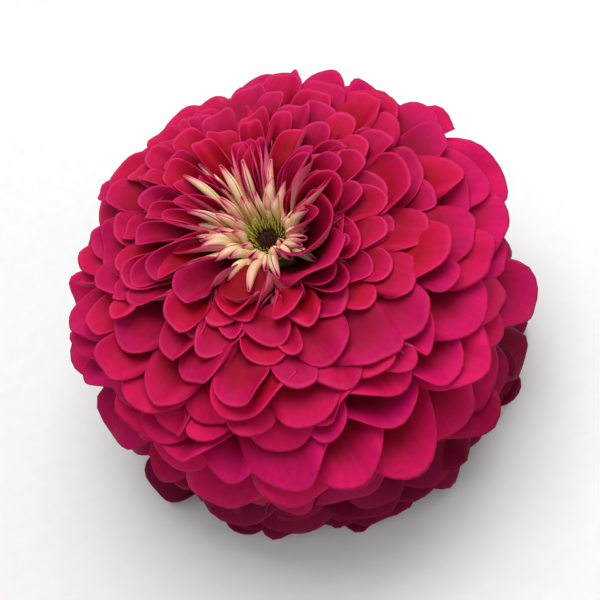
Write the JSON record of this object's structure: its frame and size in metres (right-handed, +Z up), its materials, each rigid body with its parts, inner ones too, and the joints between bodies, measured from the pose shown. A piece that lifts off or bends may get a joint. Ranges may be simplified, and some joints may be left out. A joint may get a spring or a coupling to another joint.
{
  "type": "zinnia flower",
  "caption": "Large double zinnia bloom with layered crimson petals, cream quilled young florets round a small yellow-green eye, a scaled green calyx and a short cut stem stub.",
  "frame": {"origin": "on the surface that the bloom rests on, under the middle of the bloom's box", "axes": "+Z up along the flower's axis, from the cut stem to the eye; +X and +Y across the bloom, with the side that opens last between +X and -Y"},
  "size_m": [0.0956, 0.0946, 0.0581],
  "materials": {
    "petal": "velvety crimson-magenta petal, paler rim, pinker underside",
    "young_floret": "matte cream rolled floret with a magenta mouth",
    "disc": "yellow-green chaff round a dark brown hollow",
    "calyx": "matte green overlapping scales with a dark margin",
    "stem": "ribbed, finely hairy green stem, pale where it is cut"
  },
  "bodies": {
    "root": {"ray_florets": "petal", "young_florets": "young_floret", "disc_florets": "disc", "calyx": "calyx", "stem": "stem"}
  },
  "joints": []
}
